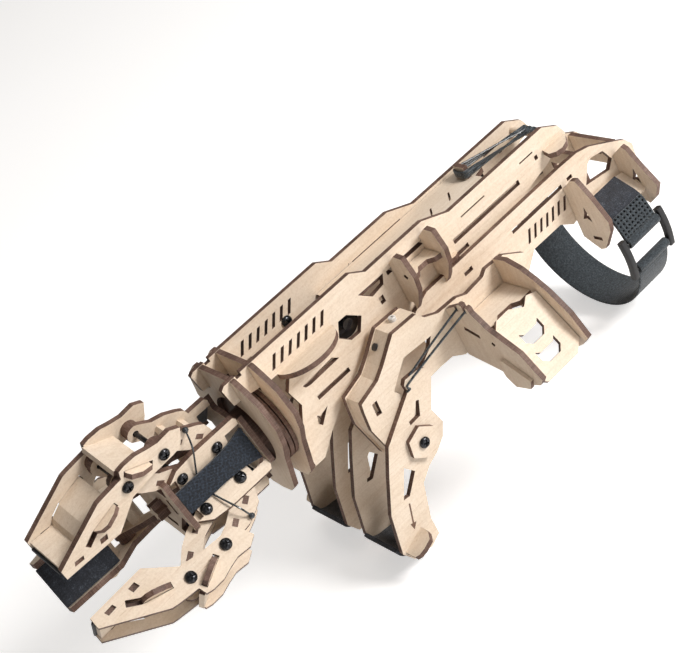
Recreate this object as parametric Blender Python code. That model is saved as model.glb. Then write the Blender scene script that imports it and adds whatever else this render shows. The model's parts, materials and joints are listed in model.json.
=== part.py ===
"""Wearable wooden grabber arm: laser-cut plywood forearm frame, three-finger claw, finger levers."""
import bpy
import bmesh
import math
from mathutils import Matrix, Vector

for old in list(bpy.data.objects):
    bpy.data.objects.remove(old, do_unlink=True)

# ---------------------------------------------------------------- driving dimensions (millimetres)
MM = 0.001
PLY = 3.0
SIDE_OUT = 16.0          # outer face of the upper side plates
REAR_OUT = 20.5          # outer face of the lower rear plates
HOUSE_OUT = 38.0         # outer face of the lever housing plates
LEVER_OUT = 41.4         # outer face of the outer lever plates
PIVOT_X = 50.4           # lever axle
PIVOT_Z = -87.1
AXIS_Z = -37.6           # claw and wrist axis height
CLAW_TURN = 223.0        # direction of the first finger, degrees in the YZ plane
PALM_R = 18.6            # radial place of the palm pivots
FRONT_X = -56.6          # front palm pivots
BACK_X = -33.9           # rear palm pivots
LINK = 34.9              # pivot spacing of a finger link
LEAN = (56.0, 47.0, 52.0)  # how far each finger's links lean forward from the radial direction
EAR_IN = 9.7             # inner face of the palm ears
TIP_IN = 12.9            # inner face of the fingertip side plates
LINK_OUT = 9.4           # outer face of the link plates
HOLE_R = 1.75            # finger screw holes
BASE = (-118.0, 0.0, 14.0)  # moves the world origin to the middle of the deck's top face

parts = bpy.data.collections.new("grabber_arm")
cutters = bpy.data.collections.new("tools")
bpy.context.scene.collection.children.link(parts)
bpy.context.scene.collection.children.link(cutters)

COLORS = {
    "birch": ((0.80, 0.66, 0.47, 1), 0.6, 0.0),
    "burnt": ((0.16, 0.09, 0.06, 1), 0.8, 0.0),
    "denim": ((0.07, 0.10, 0.16, 1), 0.95, 0.0),
    "webbing": ((0.04, 0.045, 0.05, 1), 0.9, 0.0),
    "black": ((0.02, 0.02, 0.022, 1), 0.35, 0.0),
    "screw": ((0.03, 0.03, 0.035, 1), 0.25, 1.0),
}
mats = {}
for key, (rgba, rough, metal) in COLORS.items():
    m = bpy.data.materials.new(key)
    m.use_nodes = True
    b = m.node_tree.nodes["Principled BSDF"]
    b.inputs["Base Color"].default_value = rgba
    b.inputs["Roughness"].default_value = rough
    b.inputs["Metallic"].default_value = metal
    mats[key] = m


# ---------------------------------------------------------------- helpers
def frame(u, v, origin=(0, 0, 0)):
    """Matrix of a drawing plane with directions u and v and its origin in millimetres."""
    u = Vector(u).normalized()
    v = Vector(v).normalized()
    n = u.cross(v)
    o = Vector(origin)
    return Matrix(((u.x, v.x, n.x, o.x), (u.y, v.y, n.y, o.y), (u.z, v.z, n.z, o.z), (0, 0, 0, 1)))


def circle(cx, cy, r, n=16):
    return [(cx + r * math.cos(2 * math.pi * i / n), cy + r * math.sin(2 * math.pi * i / n)) for i in range(n)]


def arc(cx, cy, r, a0, a1, n=8):
    step = math.radians(a1 - a0) / n
    return [(cx + r * math.cos(math.radians(a0) + step * i), cy + r * math.sin(math.radians(a0) + step * i))
            for i in range(n + 1)]


def rect(x0, x1, y0, y1):
    return [(x0, y0), (x1, y0), (x1, y1), (x0, y1)]


def slab_mesh(name, outline, holes, plane, low, high):
    """Mesh of a flat outline with holes, from low to high along the plane's normal."""
    curve = bpy.data.curves.new(name + "_outline", "CURVE")
    curve.dimensions = "2D"
    curve.fill_mode = "BOTH"
    curve.extrude = (high - low) / 2 * MM
    for loop in [outline] + list(holes):
        spline = curve.splines.new("POLY")
        spline.points.add(len(loop) - 1)
        for point, (x, y) in zip(spline.points, loop):
            point.co = (x * MM, y * MM, 0, 1)
        spline.use_cyclic_u = True
    holder = bpy.data.objects.new(name + "_outline", curve)
    bpy.context.scene.collection.objects.link(holder)
    dep = bpy.context.evaluated_depsgraph_get()
    mesh = bpy.data.meshes.new_from_object(holder.evaluated_get(dep))
    bpy.data.objects.remove(holder, do_unlink=True)
    bpy.data.curves.remove(curve)
    place = plane.copy()
    place.translation = place.translation * MM
    shift = Matrix.Translation((0, 0, (high + low) / 2 * MM))
    mesh.transform(place @ shift)
    bm = bmesh.new()
    bm.from_mesh(mesh)
    bmesh.ops.remove_doubles(bm, verts=bm.verts, dist=0.00002)
    bmesh.ops.recalc_face_normals(bm, faces=bm.faces)
    bm.to_mesh(mesh)
    bm.free()
    return mesh


def add(name, mesh, mat, pivot=(0, 0, 0), where=None, plane=None):
    """Object with its origin at the pivot and its mesh in world coordinates, or drawn in a plane of its own."""
    mesh.name = name
    mesh.materials.clear()
    mesh.materials.append(mats[mat])
    if plane is not None:
        ob = bpy.data.objects.new(name, mesh)
        place = plane.copy()
        place.translation = (place.translation + Vector(BASE)) * MM
        ob.matrix_basis = place
        (where or parts).objects.link(ob)
        return ob
    p = Vector(pivot) * MM
    mesh.transform(Matrix.Translation(-p))
    ob = bpy.data.objects.new(name, mesh)
    ob.location = p + Vector(BASE) * MM
    (where or parts).objects.link(ob)
    return ob


def tool(name, mesh, plane=None):
    ob = add(name, mesh, "birch", where=cutters, plane=plane)
    ob.hide_render = True
    ob.display_type = "WIRE"
    return ob


def join(ob, other, op="UNION"):
    mod = ob.modifiers.new(op.lower() + "_" + other.name, "BOOLEAN")
    mod.operation = op
    mod.solver = "EXACT"
    mod.object = other


XZ = frame((1, 0, 0), (0, 0, 1))           # normal is -Y, so a height h lies at y = -h
YZ = frame((0, 1, 0), (0, 0, 1))           # normal is +X
XY = frame((1, 0, 0), (0, 1, 0))           # normal is +Z


def plate_y(name, outline, holes, y0, y1, mat="birch", pivot=(0, 0, 0)):
    return add(name, slab_mesh(name, outline, holes, XZ, -y1, -y0), mat, pivot)


def plate_x(name, outline, holes, x0, x1, mat="birch", pivot=(0, 0, 0)):
    return add(name, slab_mesh(name, outline, holes, YZ, x0, x1), mat, pivot)


def plate_z(name, outline, holes, z0, z1, mat="birch", pivot=(0, 0, 0)):
    return add(name, slab_mesh(name, outline, holes, XY, z0, z1), mat, pivot)


def strip(points, half):
    """Outline of a bent sheet of the given half thickness along a centre line."""
    left = []
    right = []
    for i, (x, y) in enumerate(points):
        a = Vector(points[max(i - 1, 0)])
        b = Vector(points[min(i + 1, len(points) - 1)])
        p = Vector((x, y))
        if 0 < i < len(points) - 1:
            d1 = (p - a).normalized()
            d2 = (b - p).normalized()
            d = (d1 + d2).normalized()
            k = half / max(0.4, d.dot(d2))
        else:
            d = (b - a).normalized()
            k = half
        n = Vector((-d.y, d.x)) * k
        left.append((x + n.x, y + n.y))
        right.append((x - n.x, y - n.y))
    return left + right[::-1]


def revolve(name, profile, axis_point, mat, sides=32, pivot=(0, 0, 0), axis="X"):
    """Closed lathe body about a line through axis_point; profile is (along, radius) pairs."""
    bm = bmesh.new()
    rings = []
    for along, radius in profile:
        if radius <= 0.0001:
            spot = (along, 0, 0) if axis == "X" else (0, along, 0)
            rings.append([bm.verts.new((Vector(spot) + Vector(axis_point)) * MM)])
            continue
        ring = []
        for i in range(sides):
            a = 2 * math.pi * i / sides
            c = radius * math.cos(a)
            s = radius * math.sin(a)
            spot = (along, c, s) if axis == "X" else (s, along, c)
            ring.append(bm.verts.new((Vector(spot) + Vector(axis_point)) * MM))
        rings.append(ring)
    for a, b in zip(rings[:-1], rings[1:]):
        for i in range(sides):
            j = (i + 1) % sides
            if len(a) == 1:
                bm.faces.new((a[0], b[j], b[i]))
            elif len(b) == 1:
                bm.faces.new((a[i], a[j], b[0]))
            else:
                bm.faces.new((a[i], a[j], b[j], b[i]))
    bmesh.ops.recalc_face_normals(bm, faces=bm.faces)
    mesh = bpy.data.meshes.new(name)
    bm.to_mesh(mesh)
    bm.free()
    return add(name, mesh, mat, pivot)


# ---------------------------------------------------------------- upper side plates
def slanted_bars(x0, x1, z0, z1, count, width, lean):
    """Row of slanted cut bars standing in for the cut-out mark."""
    out = []
    step = (x1 - x0) / count
    for i in range(count):
        x = x0 + step * i
        low = z0 + 0.12 * (i % 3)
        top = z1 - 0.1 * (i * i % 5)
        out.append([(x, low), (x + width, low + 0.05), (x + width + lean, top), (x + lean, top - 0.07)])
    return out


side_outline = [
    (-15.0, -12.2), (-5.8, -13), (7.5, -15.4), (16.0, -15.6), (17.8, -20.2), (12.4, -28), (15, -38.8), (10.9, -46.4),
    (6.3, -56), (4.4, -63), (4.4, -72), (11.3, -72.2), (21.5, -63.4), (36.4, -52.6), (52.9, -44.6), (58.8, -42.2),
    (69.7, -34.1), (72, -33.4), (86.8, -33.8), (88.6, -42), (94, -46), (168, -46), (178, -38), (187, -36.7),
    (195, -34.8), (206.5, -32.7), (217.4, -28.5), (225, -27.5), (226, -25), (223, -18.4), (213, -12.5),
    (139.3, -12.5), (122.3, -5.6), (81, -5.6), (72.4, 0), (-3.5, 0), (-3.5, -2), (-6.8, -2), (-6.8, 0),
    (-14.2, 0), (-16.4, -1.4)]
side_holes = [
    rect(24.3, 47.0, -43.6, -41),
    [(20.5, -30.8), (26.6, -30.6), (41.6, -29.8), (45.2, -33), (24.8, -33.4), (21.6, -32.7)],
    [(18.9, -49.7), (17.4, -54.2), (19.1, -56.6), (26.7, -49.6), (20.6, -51.3)],
    [(71, -13), (89, -13.2), (86.5, -18.4), (77.9, -19.5)],
    [(80.3, -22.6), (83.4, -22.6), (83.4, -27), (80.3, -27)],
    [(54.3, -16.7), (60, -16.9), (67.3, -23.4), (62.5, -30.5), (56, -30.3), (50.4, -24.5)],
    rect(91.0, 127.5, -16.2, -13.7),
    rect(134, 186, -30, -27),
    rect(130, 141.4, -37, -34.5),
    rect(144.4, 162.8, -20.4, -19.6),
    rect(190.8, 201.4, -20.55, -19.7),
    rect(201, 203.3, -25.5, -23)]
side_holes += slanted_bars(11, 50, -12.2, -5.2, 7, 2.2, 4.4)
for sign, tag in ((-1, "near"), (1, "far")):
    a, b = sorted((sign * SIDE_OUT, sign * (SIDE_OUT - PLY)))
    ob = plate_y("side_" + tag, side_outline, side_holes, a, b)
    belly = []
    for k in range(19):
        a = math.radians(4.8 + 170.4 * k / 18)
        belly.append((31.5 + 19.3 * math.cos(a), sign * (14.5 + 15.8 * math.sin(a))))
    join(ob, tool("belly_fin_" + tag, slab_mesh("belly_fin_" + tag, belly, [], XY, -18.4, -15.4)))
    knob = [(207.7, 15.8), (205.8, 22.8), (208.5, 25.8), (212.5, 27), (217.8, 24.9), (222.6, 19.9), (223.2, 15.8)]
    knob = [(x, sign * y) for x, y in knob]
    if tag == "near":
        stop = [(124.8, -15.8), (125.6, -18.6), (129.2, -19.4), (132.4, -17.8), (132.6, -15.8)]
        join(ob, tool("stop_fin", slab_mesh("stop_fin", stop, [], XY, -36.2, -33.3)))
    join(ob, tool("rear_fin_" + tag, slab_mesh("rear_fin_" + tag, knob, [], XY, -26.6, -23.6)))

# ---------------------------------------------------------------- lower rear plates
rear_outline = [
    (88, -44), (96, -40), (104, -36.8), (211, -36.4), (224, -36.9), (233.3, -39.3), (252.2, -49.3), (257.3, -52.2),
    (261.2, -57.7), (260.4, -66), (256, -72), (249.5, -67.5), (241, -66.8), (221, -66), (210.5, -69), (203.9, -70.5),
    (195.8, -64.6), (174.1, -64.3), (164.6, -72.8), (150, -73), (136, -62), (100, -62), (92, -56)]
rear_holes = [
    rect(166, 206.5, -47.5, -45),
    rect(211.4, 215.4, -46.6, -44.5),
    rect(128.5, 134.6, -46.5, -44),
    [(228, -47.1), (231.3, -45.6), (240.5, -47.6), (244.4, -55.7), (240.0, -60.2), (221.6, -57.1)]]
rear_holes += slanted_bars(172, 206, -59.5, -52, 7, 1.9, 3.6)
for sign, tag in ((-1, "near"), (1, "far")):
    a, b = sorted((sign * REAR_OUT, sign * (REAR_OUT - PLY)))
    plate_y("rear_" + tag, rear_outline, rear_holes, a, b)

# ---------------------------------------------------------------- lever housing plates with their bent webs
house_outline = [
    (31.3, -64), (32.6, -53), (33.6, -47.9), (47.5, -44.2), (53.9, -39.8), (66.8, -29.4), (83.5, -30.2), (87, -35.1),
    (95, -39.1), (108.4, -39.9), (114.6, -42.7), (127.5, -41.8), (131.2, -39.3), (144, -40.2), (156.2, -48.3),
    (154, -60), (148, -68), (98.2, -70), (90.8, -65.1), (82, -64.7), (74.2, -64.9), (64.5, -80), (63.5, -92),
    (56, -98), (45, -98), (36.5, -89)]
axle_hole = circle(PIVOT_X, PIVOT_Z, 2.6, 20)
house_holes = [
    [(52.4, -55.6), (66, -44.5), (85.2, -46.2), (80.9, -51.5), (66, -60.0), (57, -63.0)],
    [(38.4, -52.2), (41.7, -52.1), (41.1, -60.2), (37.7, -59.6)],
    axle_hole]
twin_outline = house_outline[:7] + [(88, -36), (88, -62)] + house_outline[-7:]
web_line = [(84.5, -32.2), (67.2, -31.2), (54.4, -41.7), (47.9, -46.1), (35.6, -49.8), (34.0, -64), (38.6, -87)]
for sign, tag in ((-1, "near"), (1, "far")):
    a, b = sorted((sign * HOUSE_OUT, sign * (HOUSE_OUT - PLY)))
    ob = plate_y("housing_" + tag, house_outline, house_holes, a, b)
    c, d = sorted((sign * (HOUSE_OUT - PLY + 0.2), sign * (REAR_OUT + 3.2)))
    join(ob, tool("web_" + tag, slab_mesh("web_" + tag, strip(web_line, 1.4), [], XZ, -d, -c)))
    e, f = sorted((sign * (REAR_OUT + 0.4), sign * (REAR_OUT + 3.4)))
    join(ob, tool("twin_" + tag, slab_mesh("twin_" + tag, twin_outline, [axle_hole], XZ, -f, -e)))

# ---------------------------------------------------------------- bulkheads, deck and rear cross plate
shield = [(0, 0), (18, 0), (24, -4.5), (32, -12), (36.5, -25.5), (33, -37), (26.5, -47.5), (21, -60), (15, -73),
          (9, -78), (0, -79)]


def notch_down(y0, y1, depth):
    """Corner points of an open slot cut down from the top edge."""
    return [(y0, 0), (y0, -depth), (y1, -depth), (y1, 0)]


half = [(0, 0)] + notch_down(12.7, 16.3, 16.2) + shield[1:]
full = half + [(-y, z) for y, z in reversed(half[1:-1])]
half_f = [(0, 0)] + notch_down(12.7, 16.3, 13.4) + shield[1:]
full_f = half_f + [(-y, z) for y, z in reversed(half_f[1:-1])]
plate_x("bulkhead_front", full_f, [circle(0, AXIS_Z, 21.0, 40)], -11, -8)
plate_x("bulkhead_mid", full, [circle(0, AXIS_Z, 10.1, 32)], 1, 4)

deck_outline = [(64, -12.5), (170, -12.5), (170, -5), (177, -3), (177, 7), (170, 9), (170, 12.5), (64, 12.5)]
slits = []
for k in range(6):
    x = 78 + 14 * k
    slits.append([(x, -6.5), (x + 1.4, -6.5), (x + 6.4, 0.5), (x + 5.0, 0.5)])
deck = plate_z("deck", deck_outline, slits, -17, -14)
hook = slab_mesh("deck_hook", rect(-3, 5, -14.5, -6.5), [rect(-0.6, 2.6, -12.5, -9.5)], YZ, 166, 169)
join(deck, tool("deck_hook", hook))
plate_x("rear_cross", [(-17.2, -40), (17.2, -40), (17.2, -62), (9, -67), (-9, -67), (-17.2, -62)],
        [rect(-6, 6, -52, -48)], 225, 228)
plate_x("tail_cross", [(-17.2, -50), (17.2, -50), (17.2, -66), (-17.2, -66)], [rect(-5, 5, -60, -57)], 251, 254)
revolve("rear_rod", [(-12.7, 0), (-12.7, 2), (12.7, 2), (12.7, 0)], (215, 0, -19.5), "birch", 16, axis="Y")

# ---------------------------------------------------------------- thumb guard
guard = [(-38.3, -40.0), (-44, -37.6), (-47.2, -36.2), (-47.5, -38.8), (-49.3, -38.8), (-49.7, -34.6),
         (-52, -33.5), (-53.7, -34.0), (-54.0, -38.6), (-55.8, -38.6), (-56.2, -34.7), (-57.6, -35.0), (-58.7, -38.2), (-66.4, -46.8),
         (-84.2, -57.5), (-93.3, -71.8), (-90, -76), (-70.8, -82), (-63.4, -75.6), (-38.3, -71)]
guard_slots = [[(-47.2, -49.4), (-57.4, -52.6), (-56.8, -54.9), (-46.6, -51.8)], circle(-66, -56, 1.5, 4)]
gl = plate_x("guard_left", guard, guard_slots, 99.5, 102.5)
skin = [(-65.6, -68.4), (-69.5, -64.6), (-86.2, -73.2), (-83.4, -79), (-71.4, -81.4), (-66.6, -76.2)]
join(gl, tool("guard_skin", slab_mesh("guard_skin", skin, [], YZ, 97.4, 99.7)))
guard_r = [(-38.3, -37.4), (-47.3, -36.5), (-57.6, -40.2), (-65.2, -45.5), (-72.3, -51.6), (-81.9, -63.4),
           (-88, -77.7), (-82.4, -83.1), (-75.6, -87.3), (-60, -74), (-38.3, -66)]
plate_x("guard_right", guard_r, [], 137, 140)
plate_z("guard_floor", [(102.8, -38.3), (136.7, -38.3), (136.7, -59.0), (128.1, -59.3), (124.6, -55.8),
                        (114.9, -55.5), (110.5, -59.5), (102.8, -58)], [], -55.7, -52.7)
face_plane = frame((1, 0, 0), (0, -0.58, -0.815), (119.75, -66.0, -55.5))
face_outline = [(-16.9, 2), (-15.0, -3), (-10.5, -7), (-1.5, -7), (6, -2.5), (11, -6), (16.9, -4), (16.9, 28),
                (10, 33), (-12, 33), (-16.9, 28)]


def bracket_cut(cx, cy, w, h):
    """Open bracket shaped cut-out of the guard face."""
    return [(cx - w, cy - h), (cx - w + 2.4, cy - h + 2), (cx + w - 2.4, cy - h + 2), (cx + w, cy - h),
            (cx + w, cy + h - 3), (cx + w - 3, cy + h), (cx - w + 3, cy + h), (cx - w, cy + h - 3)]


face_holes = [bracket_cut(0, 10, 7.0, 4.2), bracket_cut(0, 22, 7.0, 4.2)]
add("guard_face", slab_mesh("guard_face", face_outline, face_holes, face_plane, 0, 3), "birch")

# ---------------------------------------------------------------- wrist brackets and strap
wing_l = [(-20.8, -47.6), (-23.4, -46.2), (-28.7, -41.4), (-33, -40.7), (-39.5, -51.2), (-46.5, -66.2), (-45, -72.7),
          (-35.3, -86.4), (-31, -88), (-20.8, -81)]
wing_r = [(-20.8, -54.3), (-29.8, -47.2), (-32.8, -48.8), (-38.7, -59.2), (-46.7, -70.9), (-42, -79.7),
          (-36, -84.8), (-20.8, -78)]
y_cut = [(-31.2, -58.6), (-29.4, -63.6), (-27.0, -67.6), (-30.5, -66.4), (-33.6, -68.6), (-32.6, -64)]
y_cut_r = [(y - 1.6, z - 2.6) for y, z in y_cut]
shelf = [(-22.2, -66.6), (-33.0, -72.5), (-36.5, -74.8)]
for sign, tag in ((-1, "near"), (1, "far")):
    def flip(points):
        return [(-sign * y, z) for y, z in points]
    left = plate_x("wing_front_" + tag, flip(wing_l), [flip(y_cut), flip(rect(-35.6, -29, -81, -78.8))], 206.5, 209.5)
    plate_x("wing_rear_" + tag, flip(wing_r), [flip(y_cut_r)], 245.5, 248.5)
    bent = slab_mesh("shelf_" + tag, flip(strip(shelf, 1.5)), [], YZ, 209.3, 245.2)
    join(left, tool("shelf_" + tag, bent))

STRAP_X0 = 214.5
STRAP_X1 = 239.5
loop = []
for i in range(41):
    a = math.radians(160 + (380 - 160) * i / 40.0)
    loop.append((44.5 * math.cos(a), -96.0 + 46.0 * math.sin(a)))
strap_line = [(-25, -65.4), (-34.3, -70.2), (-39.6, -74.2)] + loop + [(39.6, -74.2), (34.3, -70.2), (25, -65.4)]
strap_mesh = slab_mesh("strap", strip(strap_line, 0.7), [], YZ, STRAP_X0, STRAP_X1)
add("strap", strap_mesh, "webbing")
buckle_plane = frame((1, 0, 0), (0, -0.105, -0.995), (227, -48.8, -93))
buckle_out = [(-16, -10), (16, -10), (17.5, -7), (17.5, 7), (16, 10), (-16, 10), (-17.5, 7), (-17.5, -7)]
add("buckle", slab_mesh("buckle", buckle_out, [rect(-13.2, 13.2, -7.2, -1.4), rect(-13.2, 13.2, 1.4, 7.2)],
                        buckle_plane, -0.2, 3.2), "black")

# ---------------------------------------------------------------- slider on the near side plate
slide_wing = [(-16.3, -11), (-23.6, -5), (-30, -5.4), (-33, -17), (-31, -26), (-25.4, -35.2), (-21.0, -40.4),
              (-21.0, -35.9), (-16.3, -35.9), (-16.3, -15.8), (-12.9, -15.8), (-12.9, -14.1), (-16.3, -14.1)]
plate_x("slider_front", slide_wing, [circle(-26.5, -17.5, 1.8, 4)], 94.3, 97.3)
plate_x("slider_rear", slide_wing, [], 117.0, 120.0)
saddle = [(97.6, -16.4), (116.7, -16.4), (116.7, -29.0), (113, -28.0), (110, -24.6), (104, -24.6), (101, -28.0),
          (97.6, -29.0)]
plate_z("slider_saddle", saddle, [], -22, -19)
plate_y("slider_keeper", rect(94, 120.3, -43, -18.6), [rect(100, 114, -36, -26)], -12.4, -9.6)

# ---------------------------------------------------------------- finger levers and their axle
lever_outline = [
    (57.2, -54.8), (59.2, -52.6), (68.2, -53.2), (71.7, -55.1), (73.5, -61.3), (64.1, -77.4), (66.7, -88.2),
    (62.7, -95.1), (55.4, -100), (48.1, -102.8), (40.4, -108.4), (34.1, -128.7), (33.9, -139.7), (26.9, -142.9),
    (14.7, -140.6), (10.4, -132.8), (15.6, -109.2), (25.5, -89.8), (33.2, -76.1), (57.4, -59.1)]
lever_holes = [
    [(58.9, -66.6), (60.6, -67.4), (57.0, -75.4), (49.7, -75.6), (49.9, -73.3), (54.6, -73)],
    [(34.9, -92.4), (39.4, -98.8), (30, -108.1), (26, -107.4)],
    axle_hole]
hexagon = [(PIVOT_X + 9.6 * math.cos(math.radians(a)), PIVOT_Z + 9.6 * math.sin(math.radians(a)))
           for a in (20, 80, 140, 200, 260, 320)]
foot = [(0.8, -0.2), (0.8, 7.6), (3, 9.4), (7, 10.2), (12.5, 10), (15.4, 6.4), (16.0, 4.2), (16.0, -0.2)]
for sign, tag in ((-1, "open"), (1, "close")):
    pivot = (PIVOT_X, sign * 24, PIVOT_Z)
    a, b = sorted((sign * LEVER_OUT, sign * (LEVER_OUT - PLY)))
    ob = plate_y("lever_" + tag + "_outer", lever_outline, lever_holes, a, b, pivot=pivot)
    c, d = sorted((sign * (LEVER_OUT - 0.2), sign * (LEVER_OUT + 2.8)))
    hexa = slab_mesh("hex_" + tag, hexagon, [axle_hole], XZ, -d, -c)
    join(ob, tool("hex_" + tag, hexa))
    c, d = sorted((sign * (LEVER_OUT - 0.2), sign * (LEVER_OUT + 4.4)))
    sheet = frame((0.942, 0, 0.335), (0, sign, 0), (12, sign * LEVER_OUT, -134.8))
    join(ob, tool("foot_" + tag, slab_mesh("foot_" + tag, foot, [], sheet, -1.5, 1.5)))
    e, f = sorted((sign * 10.0, sign * 7.0))
    plate_y("lever_" + tag + "_inner", lever_outline, lever_holes, e, f, pivot=pivot)
    g, h = sorted((sign * 10.3, sign * (LEVER_OUT - PLY - 0.3)))
    pad_line = [(31.5, -132), (30.5, -137.2), (25.5, -139.9), (16.5, -138.0)]
    sole = slab_mesh("finger_rest_" + tag, strip(pad_line, 1.2), [], XZ, -h, -g)
    add("finger_rest_" + tag, sole, "webbing", pivot)
revolve("lever_axle", [(-46.6, 0), (-46.6, 2.2), (-46.2, 3.0), (-44.6, 3.0), (-44.6, 2.45), (44.6, 2.45), (44.6, 3.0),
                       (46.2, 3.0), (46.6, 2.2), (46.6, 0)], (PIVOT_X, 0, PIVOT_Z), "screw", 20, axis="Y")

# ---------------------------------------------------------------- palm
WRIST = (-20, 0, AXIS_Z)


def finger_frame(index):
    """Directions of a finger: r points away from the claw axis, t is the plate normal."""
    a = math.radians(CLAW_TURN - 120.0 * index)
    r = Vector((0, math.cos(a), math.sin(a)))
    t = Vector((1, 0, 0)).cross(r)
    return r, t


def in_finger(index, x, rad, tan):
    r, t = finger_frame(index)
    return Vector((x, 0, AXIS_Z)) + r * rad + t * tan


ang = math.radians(CLAW_TURN)


def turned(points):
    """Points drawn with the first finger along +Y, turned to the claw's real direction."""
    c = math.cos(ang)
    s = math.sin(ang)
    return [(y * c - z * s, AXIS_Z + y * s + z * c) for y, z in points]


def three(points):
    """Repeats a 120 degree sector outline three times round the claw axis."""
    out = []
    for k in range(3):
        a = math.radians(120 * k)
        for y, z in points:
            out.append((y * math.cos(a) - z * math.sin(a), y * math.sin(a) + z * math.cos(a)))
    return out


revolve("wrist_shaft", [(-14.9, 0), (-14.9, 12), (-7.6, 12), (-7.6, 25.4), (-5.4, 25.4), (-5.4, 23.5),
                        (-4.6, 23.5), (-4.6, 25.4), (-2.2, 25.4), (-2.2, 23.5), (-1.4, 23.5), (-1.4, 25.4), (0.6, 25.4), (0.6, 9.9),
                        (7, 9.9), (7, 13), (10, 13), (10, 0)], (0, 0, AXIS_Z), "burnt", 36, pivot=WRIST)
back = three([(23.7, -13.0), (16.5, -10.5), (16.5, 10.5), (23.7, 13.0)])
plate_x("palm_back", turned(back), [], -18.2, -15.2, pivot=WRIST)
front = three([(17.0, -15.5), (22.5, -12.6), (22.5, -9.8), (12.6, -9.8), (12.6, 9.8), (22.5, 9.8), (22.5, 12.6),
               (17.0, 15.5)])
front_slots = []
for k in range(3):
    a = math.radians(120 * k + 60)
    base = [(11.0, -4.5), (14.0, -4.5), (14.0, 4.5), (11.0, 4.5)]
    front_slots.append([(y * math.cos(a) - z * math.sin(a), y * math.sin(a) + z * math.cos(a)) for y, z in base])
pf = plate_x("palm_front", turned(front), [turned(s) for s in front_slots], -67.3, -64.3, pivot=WRIST)
star = []
for k in range(6):
    a = 60 * k
    star += [(5.4 * math.cos(math.radians(a)), 5.4 * math.sin(math.radians(a))),
             (3.0 * math.cos(math.radians(a + 30)), 3.0 * math.sin(math.radians(a + 30)))]
join(pf, tool("palm_star", slab_mesh("palm_star", turned(star), [], YZ, -73.5, -67.1)))

ear = [(-60.0, 13.0), (-60.0, 20.4), (-63.6, 20.4), (-57.4, 24.8), (-47.3, 26), (-20, 26), (-18.5, 24), (-18.5, 20.4),
       (-27.6, 20.4), (-27.6, 13.0)]
ear_holes = [circle(FRONT_X, PALM_R, HOLE_R, 12), circle(BACK_X, PALM_R, HOLE_R, 12)]
for index, tag in enumerate("abc"):
    r, t = finger_frame(index)
    plane = frame((1, 0, 0), r, (0, 0, AXIS_Z))
    for sign, side in ((-1, "left"), (1, "right")):
        lo, hi = sorted((sign * EAR_IN, sign * (EAR_IN + PLY)))
        add("ear_" + tag + "_" + side, slab_mesh("ear", ear, ear_holes, plane, lo, hi), "birch", WRIST)

# denim covered panels between neighbouring fingers, flaring towards the wrist
panel = [(-63.9, -6.2), (-39, -6.3), (-28.6, -7.1), (-19, -9.4), (-19, 9.4), (-28.6, 7.1), (-39, 6.3), (-63.9, 6.2)]
for index, tag in enumerate(("ab", "bc", "ca")):
    a = math.radians(CLAW_TURN - 120 * index - 60)
    r = Vector((0, math.cos(a), math.sin(a)))
    across = Vector((1, 0, 0)).cross(r)
    mid = Vector((0, 0, AXIS_Z)) + r * 19.6
    plane = frame((1, 0, 0), across, mid)
    add("panel_" + tag, slab_mesh("panel", panel, [], plane, -1.8, 0), "denim", WRIST)

# ---------------------------------------------------------------- fingers
front_link = arc(0, 0, 4.8, 90, 250, 6) + [(6, -5.8), (12, -7.4), (20, -7.8), (29, -6.4)] \
    + arc(LINK, 0, 5.4, -80, 90, 7) + [(28, 4.2), (19, 2.4), (12, 2.0), (6, 3.6)]
rear_link = arc(0, 0, 5.4, 115, 270, 6) + [(6, -3.8), (12, -2.2), (23, -2.3), (29.0, -3.6)] \
    + arc(LINK, 0, 4.8, -80, 80, 7) + [(27, 5.8), (20.6, 9), (13.2, 10.6), (8.7, 11), (3.5, 8.2)]
tip_plate = [
    (-46.7, -12.3), (-46.3, -18.6), (-14, -19.8), (-0.2, -7.6), (12.3, -5.5), (26.2, -4.7), (31.2, -4), (33, -1.1),
    (35.8, 5.9), (30.5, 8.9), (22.7, 8.2), (16.9, 9.5), (10.6, 11.4), (3.7, 11.5), (0, 10.7), (-0.8, 6.4),
    (-13.3, 5.0), (-16.1, 4.5)]
cover_line = [(-29.8, -11.8), (-24.2, -8.05), (-9.1, -3.55)]
tip_holes = [
    [(-24.6, -16.5), (-20.4, -16.9), (-19.6, -13.8), (-23.9, -13.5)],
    [(-40.1, -15.9), (-34.7, -16.2), (-34.1, -13.9), (-39.3, -13.4)],
    strip([(-30.3, -12.1), (-24.25, -8.1), (-8.7, -3.45)], 1.7), circle(0, 0, HOLE_R, 12), circle(BACK_X - FRONT_X, 0, HOLE_R, 12)]
floor_line = [(-45.6, -14.9), (-14.2, -16.1)]
flange_line = [(-1.5, 8.9), (14.0, 1.4)]
flange_slot = strip([(1.5, 7.45), (16.0, 0.43)], 1.7)


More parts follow.
